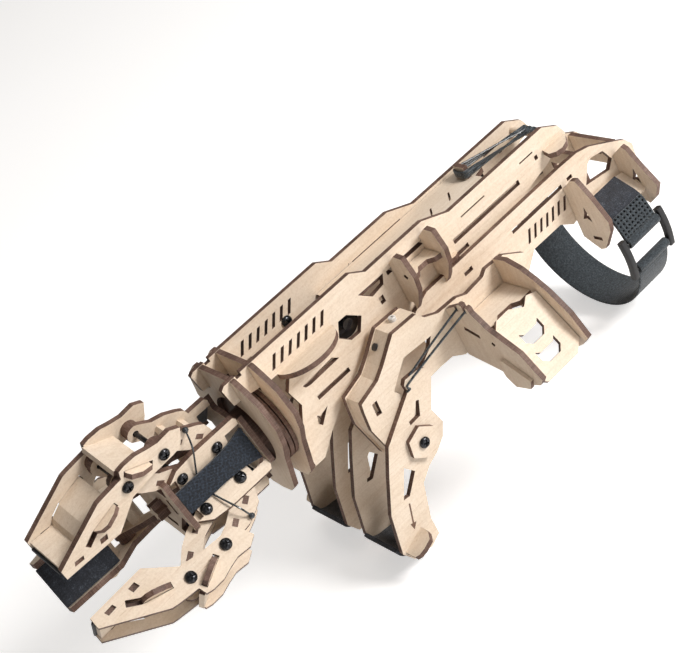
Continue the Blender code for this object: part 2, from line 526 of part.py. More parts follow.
def link(name, outline, index, base_x, lean, slots):
    """A link: two plates, spacers between them and bosses out to the fingertip plates."""
    r, t = finger_frame(index)
    a = math.radians(lean)
    along = r * math.cos(a) - Vector((1, 0, 0)) * math.sin(a)
    across = along.cross(t)
    base = in_finger(index, base_x, PALM_R, 0)
    plane = frame(along, across, base)
    holes = [circle(0, 0, HOLE_R, 12), circle(LINK, 0, HOLE_R, 12)]
    mesh = slab_mesh(name, outline, holes, XY, LINK_OUT - PLY, LINK_OUT)
    ob = add(name, mesh, "birch", plane=plane)
    other = slab_mesh(name + "_b", outline, holes, XY, -LINK_OUT, -LINK_OUT + PLY)
    join(ob, tool(name + "_b", other, plane))
    for k, spot in enumerate(slots):
        bar = slab_mesh(name + "_s", spot, [], XY, -LINK_OUT + 0.4, LINK_OUT - 0.4)
        join(ob, tool(name + "_s%d" % k, bar, plane))
    for k, sgn in enumerate((-1, 1)):
        lo, hi = sorted((sgn * (LINK_OUT - 0.3), sgn * (TIP_IN - 0.3)))
        boss = slab_mesh(name + "_r", circle(LINK, 0, 4.6, 16), [circle(LINK, 0, HOLE_R, 12)], XY, lo, hi)
        join(ob, tool(name + "_r%d" % k, boss, plane))
    return ob


def fin_on_plate(name, start, along, outline, sign):
    """A sheet through a fingertip plate: outline is along the sheet's line and out from the plate's outer face."""
    face = sign * (TIP_IN + PLY)
    sheet = frame((along[0], along[1], 0), (0, 0, sign), (start[0], start[1], face))
    return slab_mesh(name, outline, [], sheet, -1.4, 1.4)


for index, tag in enumerate("abc"):
    lean = LEAN[index]
    r, t = finger_frame(index)
    link("link_" + tag + "_front", front_link, index, FRONT_X, lean,
         [rect(7.5, 12, -4.6, -1.8), rect(21, 26, -4.4, -1.6)])
    link("link_" + tag + "_rear", rear_link, index, BACK_X, lean,
         [rect(7.3, 11.7, 3.2, 6.0), rect(19.6, 23.7, 0.7, 3.6)])
    a = math.radians(lean)
    knuckle = in_finger(index, FRONT_X - LINK * math.sin(a), PALM_R + LINK * math.cos(a), 0)
    plane = frame((1, 0, 0), r, knuckle)
    shown = -1 if tag == "a" else 1
    for sign, side in ((-1, "left"), (1, "right")):
        lo, hi = sorted((sign * TIP_IN, sign * (TIP_IN + PLY)))
        if sign == shown:
            slotted = slab_mesh("tip", tip_plate, tip_holes + [flange_slot], plane, lo, hi)
            add("tip_" + tag + "_" + side, slotted, "birch", knuckle)
            continue
        ob = add("tip_" + tag + "_" + side, slab_mesh("tip", tip_plate, tip_holes, XY, lo, hi), "birch", plane=plane)
        lo, hi = sorted((sign * (TIP_IN + 0.4), -sign * (TIP_IN - 0.3)))
        flange = slab_mesh("flange", strip(flange_line, 1.4), [], XY, lo, hi)
        join(ob, tool("flange_" + tag, flange, plane))
        fin = [(0, -4), (13.7, -4), (13.7, 2.6), (7.0, 4.8), (1.4, 3.9), (0, 1.2)]
        outer = fin_on_plate("flange_fin", (1.9, 7.25), (0.900, -0.4356), fin, -sign)
        join(ob, tool("flange_fin_" + tag, outer, plane))
    body = slab_mesh("spine", strip(floor_line, 1.4), [], XY, -TIP_IN + 0.25, TIP_IN - 0.25)
    ob = add("tip_" + tag + "_spine", body, "birch", plane=plane)
    cover = slab_mesh("cover", strip([(-31.5, -14.8)] + cover_line, 1.4), [], XY, -TIP_IN + 0.35, TIP_IN - 0.35)
    join(ob, tool("cover_" + tag, cover, plane))
    for sign, side in ((-1, "left"), (1, "right")):
        fin = [(0, -4), (15.2, -4), (15.2, 0.4), (12.8, 3.5), (9.2, 4.7), (3.3, 3.6), (0, 1.7)]
        outer = fin_on_plate("cover_fin", (-9.2, -3.6), (-0.9583, -0.2857), fin, sign)
        join(ob, tool("cover_fin_" + tag + "_" + side, outer, plane))
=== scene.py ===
import bpy
import bmesh
import json
import math
from mathutils import Matrix, Vector


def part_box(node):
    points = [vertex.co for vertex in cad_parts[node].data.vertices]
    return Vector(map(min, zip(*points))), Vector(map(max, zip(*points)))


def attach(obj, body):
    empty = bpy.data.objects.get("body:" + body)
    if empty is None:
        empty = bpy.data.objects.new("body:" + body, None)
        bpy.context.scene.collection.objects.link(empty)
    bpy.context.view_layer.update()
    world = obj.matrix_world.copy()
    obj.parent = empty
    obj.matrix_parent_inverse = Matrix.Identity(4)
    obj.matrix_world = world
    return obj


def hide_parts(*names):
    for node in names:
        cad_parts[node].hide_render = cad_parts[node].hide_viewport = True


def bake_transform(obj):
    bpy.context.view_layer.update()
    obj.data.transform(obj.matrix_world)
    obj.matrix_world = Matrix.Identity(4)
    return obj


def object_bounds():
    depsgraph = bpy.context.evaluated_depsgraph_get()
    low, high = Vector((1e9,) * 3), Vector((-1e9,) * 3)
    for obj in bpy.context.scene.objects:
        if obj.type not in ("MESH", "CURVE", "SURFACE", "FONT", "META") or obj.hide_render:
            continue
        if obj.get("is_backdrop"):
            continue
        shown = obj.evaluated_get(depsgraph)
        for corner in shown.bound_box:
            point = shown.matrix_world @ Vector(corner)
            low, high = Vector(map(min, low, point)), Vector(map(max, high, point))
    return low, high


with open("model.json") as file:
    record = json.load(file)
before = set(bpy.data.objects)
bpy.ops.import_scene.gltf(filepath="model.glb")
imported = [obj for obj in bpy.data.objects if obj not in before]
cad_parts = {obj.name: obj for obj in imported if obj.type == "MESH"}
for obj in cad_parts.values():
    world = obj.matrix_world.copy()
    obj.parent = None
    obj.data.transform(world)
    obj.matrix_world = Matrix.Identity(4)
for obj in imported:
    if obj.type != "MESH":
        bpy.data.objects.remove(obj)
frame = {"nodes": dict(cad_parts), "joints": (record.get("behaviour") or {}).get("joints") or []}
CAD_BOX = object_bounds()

# ------------------------------------------------------------------ places and sizes, in arm millimetres
JOINT = {j["name"]: j for j in frame["joints"]}
WRIST = Vector(JOINT["wrist_turn"]["pos_m"])
WRIST_X = -20.0  # the wrist hinge's place along the arm
AXIS_Z = -37.6  # height of the wrist's axis
X_AXIS = Vector((1, 0, 0))
Y_AXIS = Vector((0, 1, 0))
Z_AXIS = Vector((0, 0, 1))
MM = 0.001


def at(x, y, z):
    """A point in the arm's own millimetres: x along it, y across, z up from the side plates' top edge."""
    return WRIST + Vector((x - WRIST_X, y, z - AXIS_Z)) * MM


def arm(p):
    """The arm millimetres of a point in the row frame."""
    q = (p - WRIST) / MM
    return Vector((q.x + WRIST_X, q.y, q.z + AXIS_Z))


def finger_axes(tag):
    """The finger's outward direction r and hinge direction t, from its hinge in the frame."""
    t = Vector(JOINT["front_link_%s_swing" % tag]["axis"]).normalized()
    return t.cross(X_AXIS), t


def pivot(joint):
    return Vector(JOINT[joint]["pos_m"])


FINGERS = ("a", "b", "c")
TIP_OUT = 15.9  # fingertip plates' outer faces from the finger's middle plane
EAR_OUT = 12.7  # palm ears' outer faces
LINK_OUT = 9.4  # link plates' outer faces
PIVOT_GAP = 22.7  # between the front and the rear pivots
LEAN = {"a": 56.0, "b": 47.0, "c": 52.0}  # degrees from each finger's links to its outward direction

# ------------------------------------------------------------------ materials


class Shader:
    """A node material, with short calls for the nodes used here."""

    def __init__(self, name):
        self.mat = bpy.data.materials.new(name)
        self.mat.use_nodes = True
        self.tree = self.mat.node_tree
        self.bsdf = self.tree.nodes["Principled BSDF"]
        self.coords = self.node("ShaderNodeTexCoord").outputs["Object"]

    def node(self, kind, **values):
        made = self.tree.nodes.new(kind)
        for key, value in values.items():
            if key in made.inputs:
                made.inputs[key].default_value = value
            else:
                setattr(made, key, value)
        return made

    def link(self, a, b):
        self.tree.links.new(a, b)

    def value(self, operation, a, b=0.0, clamp=False):
        made = self.node("ShaderNodeMath", operation=operation, use_clamp=clamp)
        for slot, item in zip(made.inputs, (a, b)):
            if isinstance(item, (int, float)):
                slot.default_value = item
            else:
                self.link(item, slot)
        return made.outputs[0]

    def dot(self, vector, axis):
        made = self.node("ShaderNodeVectorMath", operation="DOT_PRODUCT")
        self.link(vector, made.inputs[0])
        made.inputs[1].default_value = tuple(axis)
        return made.outputs["Value"]

    def stretched(self, scale):
        made = self.node("ShaderNodeMapping")
        made.inputs["Scale"].default_value = scale
        self.link(self.coords, made.inputs["Vector"])
        return made.outputs["Vector"]

    def noise(self, vector, scale, detail=3.0, rough=0.55):
        made = self.node("ShaderNodeTexNoise", Scale=scale, Detail=detail, Roughness=rough)
        self.link(vector, made.inputs["Vector"])
        return made.outputs["Fac"]

    def ramp(self, fac, stops):
        made = self.node("ShaderNodeValToRGB")
        ramp = made.color_ramp
        while len(ramp.elements) < len(stops):
            ramp.elements.new(0.5)
        for element, (place, color) in zip(ramp.elements, stops):
            element.position = place
            element.color = tuple(color) + (1,) if len(color) == 3 else color
        self.link(fac, made.inputs["Fac"])
        return made.outputs["Color"]

    def mix(self, fac, a, b, blend="MIX"):
        made = self.node("ShaderNodeMix", data_type="RGBA", blend_type=blend)
        for slot, item in ((0, fac), (6, a), (7, b)):
            if isinstance(item, (int, float)):
                made.inputs[slot].default_value = item
            elif isinstance(item, tuple):
                made.inputs[slot].default_value = item + (1,)
            else:
                self.link(item, made.inputs[slot])
        return made.outputs[2]

    def finish(self, color, rough, bump=None, strength=0.2, distance=0.0002, **extra):
        for slot, item in (("Base Color", color), ("Roughness", rough)):
            if isinstance(item, tuple):
                self.bsdf.inputs[slot].default_value = item + (1,)
            elif isinstance(item, (int, float)):
                self.bsdf.inputs[slot].default_value = item
            else:
                self.link(item, self.bsdf.inputs[slot])
        for key, item in extra.items():
            self.bsdf.inputs[key.replace("_", " ")].default_value = item
        if bump is not None:
            made = self.node("ShaderNodeBump", Strength=strength, Distance=distance)
            self.link(bump, made.inputs["Height"])
            self.link(made.outputs["Normal"], self.bsdf.inputs["Normal"])
        return self.mat


def birch_face(name, grain):
    """Sanded birch veneer: fine grain along the axis, pale cream with warmer streaks and small flecks."""
    s = Shader(name)
    along = 26.0
    across = 420.0
    scale = tuple(along if axis == grain else across for axis in "XYZ")
    streak = s.noise(s.stretched(scale), 1.0, 5.0, 0.6)
    broad = s.noise(s.stretched(tuple(v / 9 for v in scale)), 1.0, 2.0, 0.5)
    pores = s.noise(s.stretched(tuple(v * 4.0 for v in scale)), 1.0, 2.0, 0.5)
    mottle = s.noise(s.coords, 38.0, 3.0, 0.6)
    base = s.ramp(streak, ((0.25, (0.73, 0.60, 0.475)), (0.5, (0.79, 0.675, 0.555)),
                           (0.78, (0.84, 0.735, 0.62))))
    tone = s.ramp(broad, ((0.3, (0.92, 0.89, 0.85)), (0.7, (1.0, 1.0, 1.0))))
    color = s.mix(0.75, base, tone, "MULTIPLY")
    spots = s.ramp(mottle, ((0.35, (0.95, 0.92, 0.88)), (0.65, (1, 1, 1))))
    color = s.mix(0.6, color, spots, "MULTIPLY")
    speckle = s.ramp(s.noise(s.coords, 900.0, 3.0, 0.7), ((0.34, (0.84, 0.80, 0.75)), (0.6, (1, 1, 1))))
    color = s.mix(0.6, color, speckle, "MULTIPLY")
    flecks = s.ramp(pores, ((0.26, (0.74, 0.64, 0.54)), (0.36, (1, 1, 1))))
    color = s.mix(0.45, color, flecks, "MULTIPLY")
    rough = s.value("MULTIPLY_ADD", streak, 0.18)
    s.tree.nodes[-1].inputs[2].default_value = 0.50
    return s.finish(color, rough, pores, 0.25, 0.00012)


def burnt_edge(name, axis):
    """Laser-cut edge: three plies across the thickness, fine kerf lines, scorched brown with a grey sheen."""
    s = Shader(name)
    depth = s.dot(s.coords, axis)
    flat = s.node("ShaderNodeVectorMath", operation="SCALE")
    flat.inputs[0].default_value = tuple(axis)
    s.link(s.value("MULTIPLY", depth, -0.9), flat.inputs["Scale"])
    spot = s.node("ShaderNodeVectorMath", operation="ADD")
    s.link(s.coords, spot.inputs[0])
    s.link(flat.outputs[0], spot.inputs[1])
    kerf = s.noise(spot.outputs[0], 1900.0, 2.0, 0.5)
    patch = s.noise(s.coords, 90.0, 3.0, 0.6)
    plies = s.value("SINE", s.value("MULTIPLY", depth, 2 * math.pi * 1000.0))
    scorch = s.value("ADD", s.value("MULTIPLY", kerf, 0.45), s.value("MULTIPLY", patch, 0.55))
    scorch = s.value("ADD", scorch, s.value("MULTIPLY", plies, 0.035))
    color = s.ramp(scorch, ((0.30, (0.042, 0.021, 0.015)), (0.5, (0.125, 0.068, 0.048)),
                            (0.72, (0.24, 0.155, 0.12))))
    return s.finish(color, 0.62, kerf, 0.35, 0.00015)


def cloth(name, dark, light, pitch, strength=0.7):
    """Plain weave made of two crossing sets of threads, with uneven yarn."""
    s = Shader(name)
    turn = 2 * math.pi / pitch
    waves = []
    for axis in ((1, 0, 0), (0, 0.75, 0.66)):
        waves.append(s.value("SINE", s.value("MULTIPLY", s.dot(s.coords, axis), turn)))
    weave = s.value("MULTIPLY", waves[0], waves[1])
    yarn = s.noise(s.coords, 0.9 / pitch, 2.0, 0.6)
    fuzz = s.noise(s.coords, 2.6 / pitch, 2.0, 0.7)
    height = s.value("ADD", s.value("MULTIPLY", weave, 0.35), yarn)
    color = s.ramp(height, ((0.42, dark), (0.95, light)))
    top = s.value("ADD", height, s.value("MULTIPLY", fuzz, 0.3))
    return s.finish(color, 0.93, top, strength, pitch * 0.35, Sheen_Weight=0.2, Sheen_Roughness=0.5)


def pile(name):
    """Short black loop pile with lint catching the light."""
    s = Shader(name)
    tuft = s.noise(s.coords, 1500.0, 3.0, 0.7)
    patch = s.noise(s.coords, 260.0, 2.0, 0.6)
    both = s.value("ADD", s.value("MULTIPLY", tuft, 0.65), s.value("MULTIPLY", patch, 0.35))
    color = s.ramp(both, ((0.36, (0.006, 0.007, 0.011)), (0.55, (0.02, 0.024, 0.034)),
                          (0.72, (0.10, 0.12, 0.15))))
    return s.finish(color, 0.98, both, 0.9, 0.0004, Sheen_Weight=0.35)


def plastic(name, color, rough, coat=0.0):
    s = Shader(name)
    grain = s.noise(s.coords, 2600.0, 2.0, 0.5)
    cloud = s.noise(s.coords, 140.0, 2.0, 0.5)
    tone = s.mix(cloud, color, tuple(min(1, c * 1.8 + 0.004) for c in color))
    rough_out = s.value("MULTIPLY_ADD", cloud, 0.16)
    s.tree.nodes[-1].inputs[2].default_value = rough - 0.08
    return s.finish(tone, rough_out, grain, 0.12, 0.00008, Coat_Weight=coat)


def black_steel(name):
    """Black plated screw: dark metal, worn a little brighter where tools touch it."""
    s = Shader(name)
    wear = s.noise(s.coords, 900.0, 3.0, 0.6)
    color = s.ramp(wear, ((0.35, (0.012, 0.012, 0.014)), (0.7, (0.09, 0.093, 0.10))))
    rough = s.value("MULTIPLY_ADD", wear, 0.2)
    s.tree.nodes[-1].inputs[2].default_value = 0.12
    return s.finish(color, rough, wear, 0.06, 0.00005, Metallic=0.85)


def rubber(name):
    """Elastic cord: black covered rubber with fine ribs and a clear coat; the lighter blue-grey streaks along
    the ribs are painted highlights.
    """
    s = Shader(name)
    ribs_and_painted_sheen = s.noise(s.stretched((60.0, 2400.0, 2400.0)), 1.0, 2.0, 0.5)
    # painted highlight: the lighter blue-grey stop stands in for light catching the cord along its ribs
    color = s.ramp(ribs_and_painted_sheen, ((0.4, (0.005, 0.006, 0.008)), (0.7, (0.07, 0.09, 0.105))))
    return s.finish(color, 0.26, ribs_and_painted_sheen, 0.3, 0.00008, Coat_Weight=0.7, Coat_Roughness=0.2)


FACE_X = birch_face("birch_grain_x", "X")
FACE_Z = birch_face("birch_grain_z", "Z")
DENIM = cloth("denim_weave", (0.002, 0.003, 0.005), (0.045, 0.065, 0.10), 0.0009)
WEBBING = cloth("webbing_weave", (0.012, 0.016, 0.020), (0.10, 0.125, 0.145), 0.0009)
PILE = pile("loop_pile")
PLASTIC = plastic("black_plastic", (0.010, 0.010, 0.011), 0.38)
GLOSS = plastic("gloss_black", (0.006, 0.006, 0.007), 0.16, 0.6)
STEEL = black_steel("black_steel")
RUBBER = rubber("elastic_cord")
ENGRAVED = plastic("engraved_mark", (0.11, 0.06, 0.04), 0.75)

# ------------------------------------------------------------------ plywood on the CAD plates
EDGE = {}


def edge_material(tag, axis):
    if tag not in EDGE:
        EDGE[tag] = burnt_edge("burnt_edge_" + tag, axis)
    return EDGE[tag]


SIDE_FACE = 16.05  # just outside the side plates' outer faces, where small plates stick out
HOUSING_WEB = (23.95, 34.9)  # the bent web between a housing's two plates
LEVER_FACE = 41.45  # just outside the levers' outer faces
LEVER_FOOT = -120
DECK_FACE = -13.9  # just above the deck, where its hook stands
SHELF_START = 209.6  # the shelf between two wings
SKIN_END = 99.4  # the guard's bent skin ends at its left plate
SKIN_MID = 97.4
TIP_INSIDE = 12.8  # fingertip plates' inner faces
LINK_INSIDE = 6.3  # link plates' inner faces
FOOT_NORMAL = Vector((-0.335, 0, 0.942))
SKIN_NORMAL = Vector((0, -0.457, 0.889))
GUARD_FACE_NORMAL = Vector((0, -0.815, 0.58)).normalized()
PLATES = {
    "y": ("side_near", "side_far", "rear_near", "rear_far", "housing_near", "housing_far", "lever_open_outer",
          "lever_open_inner", "lever_close_outer", "lever_close_inner", "slider_keeper"),
    "x": ("bulkhead_front", "bulkhead_mid", "rear_cross", "tail_cross", "guard_left", "guard_right",
          "wing_front_near", "wing_front_far", "wing_rear_near", "wing_rear_far", "slider_front",
          "slider_rear", "palm_back", "palm_front"),
    "z": ("deck", "guard_floor", "slider_saddle"),
    "guard": ("guard_face",)}
FINGER_PLATES = ("ear_%s_left", "ear_%s_right", "link_%s_front", "link_%s_rear", "tip_%s_left",
                 "tip_%s_right", "tip_%s_spine")
for tag in FINGERS:
    PLATES[tag] = tuple(node % tag for node in FINGER_PLATES)
AXIS = {"x": X_AXIS, "y": Y_AXIS, "z": Z_AXIS, "guard": GUARD_FACE_NORMAL}
for tag in FINGERS:
    AXIS[tag] = finger_axes(tag)[1]


def sheet_at(node, tag, spot):
    """Normal of the plate at that spot, and whether the sheet there is bent across that direction instead."""
    axis = AXIS[tag]
    if node.startswith("side") and abs(spot.y) > SIDE_FACE:
        return Z_AXIS, False
    if node == "guard_left" and spot.x < SKIN_END and abs(spot.x - SKIN_MID) > 0.2:
        return SKIN_NORMAL, False
    if node.startswith("housing"):
        return axis, HOUSING_WEB[0] < abs(spot.y) < HOUSING_WEB[1]
    if node.startswith("lever") and spot.z < LEVER_FOOT and abs(spot.y) > LEVER_FACE:
        return FOOT_NORMAL, False
    if node == "deck" and spot.z > DECK_FACE:
        return X_AXIS, False
    if node.startswith("wing_front") and spot.x > SHELF_START:
        return axis, True
    if tag in FINGERS:
        r = finger_axes(tag)[0]
        side = (spot - Vector((0, 0, AXIS_Z))).dot(axis)
        if node.endswith("spine") and abs(side) > TIP_INSIDE:
            return X_AXIS * 0.2857 - r * 0.9583, False
        if node.endswith("spine") or node.startswith("link") and abs(side) < LINK_INSIDE:
            return axis, True
        outward = side if node.endswith("right") else -side
        if node.startswith("tip") and abs(side) < TIP_INSIDE:
            return axis, True
        if node.startswith("tip") and outward < TIP_INSIDE:
            return X_AXIS * 0.4356 + r * 0.900, False
    return axis, False


def paint_plywood(node, tag):
    """Gives a plate its veneer on the broad faces and a burnt edge everywhere else."""
    mesh = frame["nodes"][node].data
    mesh.materials.clear()
    mesh.materials.append(FACE_Z if tag == "x" else FACE_X)
    mesh.materials.append(edge_material(tag, AXIS[tag]))
    for face in mesh.polygons:
        axis, bent = sheet_at(node, tag, arm(face.center))
        along = abs(face.normal.dot(axis))
        flat = along < 0.5 if bent else along > 0.9
        face.material_index = 0 if flat else 1


for tag, nodes in PLATES.items():
    for node in nodes:
        paint_plywood(node, tag)


def repaint(node, mat):
    mesh = frame["nodes"][node].data
    mesh.materials.clear()
    mesh.materials.append(mat)


repaint("wrist_shaft", edge_material("x", X_AXIS))
for pair in ("ab", "bc", "ca"):
    repaint("panel_" + pair, DENIM)
repaint("rear_rod", FACE_X)

# ------------------------------------------------------------------ mesh helpers


def new_object(name, bm, mat, body, smooth=30.0):
    """Object from a bmesh, riding on a body."""
    bmesh.ops.recalc_face_normals(bm, faces=bm.faces)
    mesh = bpy.data.meshes.new(name)
    bm.to_mesh(mesh)
    bm.free()
    mesh.materials.append(mat)
    if smooth:
        mesh.shade_smooth()
        mesh.set_sharp_from_angle(angle=math.radians(smooth))
    ob = bpy.data.objects.new(name, mesh)
    bpy.context.scene.collection.objects.link(ob)
    if body:
        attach(ob, body)
    return ob


def ring_section(radius, sides=8):
    return [(radius * math.cos(2 * math.pi * i / sides), radius * math.sin(2 * math.pi * i / sides))
            for i in range(sides)]


def flat_section(half, thick, corner, steps=3):
    """Rounded rectangle, half wide and thick high about its centre."""
    out = []
    for cx, cy, start in ((half, thick, 0), (-half, thick, 90), (-half, -thick, 180), (half, -thick, 270)):
        for i in range(steps + 1):
            a = math.radians(start + 90 * i / steps)
            out.append((cx - math.copysign(corner, cx) + corner * math.cos(a),
                        cy - math.copysign(corner, cy) + corner * math.sin(a)))
    return out


def smooth_path(points, steps=8):
    """Catmull-Rom curve through the points."""
    pts = [points[0]] + list(points) + [points[-1]]
    out = []
    for i in range(1, len(pts) - 2):
        a, b, c, d = pts[i - 1:i + 3]
        for k in range(steps):
            u = k / steps
            out.append(0.5 * ((2 * b) + (c - a) * u + (2 * a - 5 * b + 4 * c - d) * u * u
                              + (3 * b - 3 * c + d - a) * u ** 3))
    out.append(points[-1])
    return out


def sweep_into(bm, path, section, side=None, closed=False):
    """Adds a section swept along a path. Its first direction follows side, or turns as little as it can."""
    count = len(path)
    rings = []
    u = side
    for i, p in enumerate(path):
        before = path[(i - 1) % count] if closed or i > 0 else p
        after = path[(i + 1) % count] if closed or i < count - 1 else p
        along = (after - before).normalized()
        if u is None:
            u = along.orthogonal()
        guide = side if side is not None else u
        u = (guide - along * guide.dot(along)).normalized()
        v = along.cross(u)
        rings.append([bm.verts.new(p + (u * a + v * b) * MM) for a, b in section])
    last = count if closed else count - 1
    size = len(section)
    for i in range(last):
        low = rings[i]
        high = rings[(i + 1) % count]
        for k in range(size):
            bm.faces.new((low[k], low[(k + 1) % size], high[(k + 1) % size], high[k]))
    if not closed:
        bm.faces.new(rings[0])
        bm.faces.new(rings[-1])


def sweep(name, path, section, mat, body, side=None, closed=False, smooth=40.0):
    bm = bmesh.new()
    sweep_into(bm, path, section, side, closed)
    return new_object(name, bm, mat, body, smooth)


def lathe_into(bm, profile, place, sides=24):
    """Adds a turned body; profile is (radius, height) in mm, place a matrix with the axis along its Z."""
    rings = []
    for radius, height in profile:
        if radius < 0.001:
            rings.append([bm.verts.new(place @ Vector((0, 0, height * MM)))])
        else:
            rings.append([bm.verts.new(place @ Vector((x * MM, y * MM, height * MM)))
                          for x, y in ring_section(radius, sides)])
    for low, high in zip(rings[:-1], rings[1:]):
        for i in range(sides):
            j = (i + 1) % sides
            corners = [low[i % len(low)], low[j % len(low)], high[j % len(high)], high[i % len(high)]]
            corners = [c for k, c in enumerate(corners) if c not in corners[:k]]
            if len(corners) > 2:
                bm.faces.new(corners)
    for ring, flip in ((rings[0], True), (rings[-1], False)):
        if len(ring) > 1:
            bm.faces.new(ring)


def pointing(spot, direction, turn=0.0):
    """Matrix at a spot with Z along a direction, turned about it by an angle in degrees."""
    place = direction.normalized().to_track_quat("Z", "Y").to_matrix().to_4x4()
    place.translation = spot
    return place @ Matrix.Rotation(math.radians(turn), 4, "Z")


def slab_into(bm, outline, place, low, high):
    """Adds a flat outline (mm) between two heights along the place matrix's Z."""
    rings = []
    for h in (low, high):
        rings.append([bm.verts.new(place @ Vector((x * MM, y * MM, h * MM))) for x, y in outline])
    size = len(outline)
    for i in range(size):
        bm.faces.new((rings[0][i], rings[0][(i + 1) % size], rings[1][(i + 1) % size], rings[1][i]))
    bm.faces.new(rings[0])
    bm.faces.new(rings[1])


def slab(name, outline, place, low, high, mat, body):
    """Object made of one flat outline between two heights."""
    bm = bmesh.new()
    slab_into(bm, outline, place, low, high)
    return new_object(name, bm, mat, body, 0)


def carve(ob, tool):
    """Cuts the tool's shape out of the object and removes the tool."""
    mod = ob.modifiers.new("carve", "BOOLEAN")
    mod.operation = "DIFFERENCE"
    mod.object = tool
    dep = bpy.context.evaluated_depsgraph_get()
    cut = bpy.data.meshes.new_from_object(ob.evaluated_get(dep))
    ob.modifiers.clear()
    ob.data = cut
    bpy.data.objects.remove(tool)


def plane_matrix(u, v, origin):
    """Matrix with X along u, Y along v and Z square to both."""
    n = u.cross(v)
    rows = [(u[i], v[i], n[i], origin[i]) for i in range(3)]
    return Matrix(rows + [(0, 0, 0, 1)])


# ------------------------------------------------------------------ screws
HEAD_R = 3.1
HEAD_TOP = 2.14
SHANK_R = 1.3


def head_mesh():
    """Pan head with a cross recess, lying on Z = 0."""
    bm = bmesh.new()
    dome = [(0, 0), (HEAD_R - 0.15, 0), (HEAD_R, 0.2), (HEAD_R, 0.6), (2.85, 1.15), (2.4, 1.62), (1.7, 1.95),
            (0.9, 2.1), (0, HEAD_TOP)]
    lathe_into(bm, dome, Matrix.Identity(4), 32)
    ob = new_object("head_blank", bm, STEEL, None, 35.0)
    arm_len = 1.75
    arm_half = 0.42
    cross = [(arm_half, arm_half), (arm_half, arm_len), (-arm_half, arm_len), (-arm_half, arm_half),
             (-arm_len, arm_half), (-arm_len, -arm_half), (-arm_half, -arm_half), (-arm_half, -arm_len),
             (arm_half, -arm_len), (arm_half, -arm_half), (arm_len, -arm_half), (arm_len, arm_half)]
    bm = bmesh.new()
    slab_into(bm, cross, Matrix.Identity(4), 0.75, 3.0)
    carve(ob, new_object("head_cross", bm, STEEL, None, 0))
    mesh = ob.data
    mesh.shade_smooth()
    mesh.set_sharp_from_angle(angle=math.radians(35))
    bpy.data.objects.remove(ob)
    return mesh


HEAD = head_mesh()


def screw_head(name, spot, direction, turn, body):
    """A pan head lying at a spot, its cross turned by an angle in degrees."""
    ob = bpy.data.objects.new(name, HEAD)
    bpy.context.scene.collection.objects.link(ob)
    ob.matrix_world = pointing(spot, direction, turn)
    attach(ob, body)


def screw_pair(name, centre, axis, half, body, turn):
    """A head on each outer face and a threaded shank between them."""
    for sign, side in ((-1, "left"), (1, "right")):
        spot = centre + axis * sign * (half + 0.05) * MM
        screw_head("%s_head_%s" % (name, side), spot, axis * sign, turn + 31 * sign, body)
    profile = []
    pitch = 1.0
    steps = int(2 * half / pitch)
    for i in range(steps):
        low = -half + i * 2 * half / steps
        profile += [(SHANK_R - 0.13, low), (SHANK_R + 0.08, low + pitch / 2)]
    profile.append((SHANK_R - 0.13, half))
    bm = bmesh.new()
    lathe_into(bm, profile, pointing(centre, axis), 12)
    new_object(name + "_shank", bm, STEEL, body, 60.0)


for index, tag in enumerate(FINGERS):
    t = finger_axes(tag)[1]
    front = pivot("front_link_%s_swing" % tag)
    rear = pivot("rear_link_%s_swing" % tag)
    knuckle = pivot("fingertip_%s_swing" % tag)
    follower = knuckle + X_AXIS * PIVOT_GAP * MM
    tip = "fingertip_" + tag
    screw_pair("palm_screw_%s_front" % tag, front, t, EAR_OUT, "palm", 20 + 37 * index)
    screw_pair("palm_screw_%s_rear" % tag, rear, t, EAR_OUT, "palm", 65 - 25 * index)
    screw_pair("tip_screw_%s_front" % tag, knuckle, t, TIP_OUT, tip, 10 + 50 * index)
    screw_pair("tip_screw_%s_rear" % tag, follower, t, TIP_OUT, tip, 40 * index)

# lever axle: a long screw with a cross head in each hexagonal washer
AXLE_LOW, AXLE_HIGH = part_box("lever_axle")
AXLE = (AXLE_LOW + AXLE_HIGH) / 2
AXLE_HALF = (AXLE_HIGH.y - AXLE_LOW.y) / 2 / MM
bm = bmesh.new()
lathe_into(bm, [(2.4, -AXLE_HALF + 2.0), (2.4, AXLE_HALF - 2.0)], pointing(AXLE, Y_AXIS), 24)
axle = new_object("lever_axle_screw", bm, STEEL, "frame", 35.0)
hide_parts("lever_axle")
for sign, side in ((-1, "open"), (1, "close")):
    spot = AXLE + Y_AXIS * sign * (AXLE_HALF - HEAD_TOP) * MM
    screw_head("lever_axle_head_" + side, spot, Y_AXIS * sign, 25 * sign, "frame")

# ------------------------------------------------------------------ grip pads on the fingertips
for tag in FINGERS:
    r, t = finger_axes(tag)
    knuckle = pivot("fingertip_%s_swing" % tag)
    line = [(-46.4, -16.6), (-45.0, -17.1), (-30, -17.7), (-15.2, -18.2), (-13.8, -17.9)]
    path = [knuckle + (X_AXIS * x + r * y) * MM for x, y in line]
    section = flat_section(12.4, 0.75, 0.5)
    sweep("grip_pad_" + tag, smooth_path(path, 4), section, PILE, "fingertip_" + tag, t)

# ------------------------------------------------------------------ finger rests on the levers
REST_LINE = [(31.8, -130.6), (31.2, -135.2), (29.6, -137.9), (25.5, -139.3), (20.5, -138.8), (15.6, -138.0),
             (11.6, -135.6), (9.6, -131.0)]
for name in ("open", "close"):
    node = "finger_rest_" + name
    low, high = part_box(node)
    middle = (low.y + high.y) / 2
    half = (high.y - low.y) / 2 / MM
    path = [Vector((at(x, 0, 0).x, middle, at(0, 0, z).z)) for x, z in REST_LINE]
    section = flat_section(half, 1.15, 0.8)
    rest = sweep(node + "_pad", smooth_path(path, 5), section, PILE, name + "_lever", Y_AXIS)
    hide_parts(node)

# ------------------------------------------------------------------ wrist strap
STRAP_LOW, STRAP_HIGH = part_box("strap")
STRAP_X = (STRAP_LOW.x + STRAP_HIGH.x) / 2
STRAP_HALF = (STRAP_HIGH.x - STRAP_LOW.x) / 2 / MM


